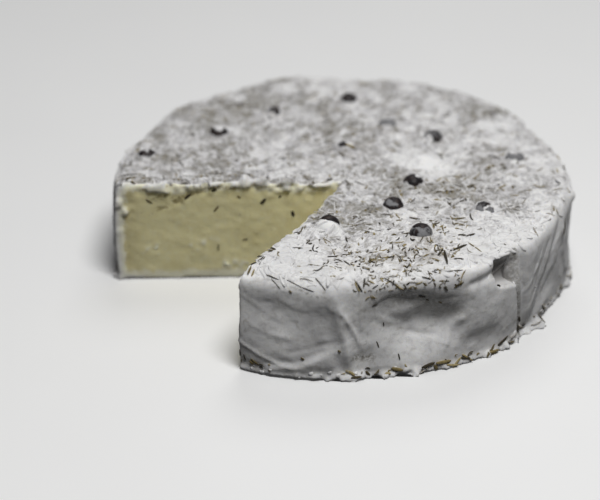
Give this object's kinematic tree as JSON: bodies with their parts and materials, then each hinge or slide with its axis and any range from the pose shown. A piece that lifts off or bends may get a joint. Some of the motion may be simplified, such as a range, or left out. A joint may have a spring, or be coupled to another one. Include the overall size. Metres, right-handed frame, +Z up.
{
  "type": "soft sheep cheese",
  "caption": "Round soft-ripened sheep cheese in a white mould rind with dried rosemary and juniper berries, one wedge cut out.",
  "frame": {"origin": "on the table under the middle of the wheel: bottom centre of the bounding box", "axes": "+Z up, the wheel's short axis; the missing wedge opens towards -X and -Y"},
  "size_m": [0.1609, 0.1611, 0.0401],
  "materials": {
    "rind": null,
    "berry": null
  },
  "bodies": {
    "root": {"cheese": "rind", "juniper_berry_01": "berry", "juniper_berry_02": "berry", "juniper_berry_03": "berry", "juniper_berry_04": "berry", "juniper_berry_05": "berry", "juniper_berry_06": "berry", "juniper_berry_07": "berry", "juniper_berry_08": "berry", "juniper_berry_09": "berry", "juniper_berry_10": "berry", "juniper_berry_11": "berry", "juniper_berry_12": "berry", "juniper_berry_13": "berry"}
  },
  "joints": []
}
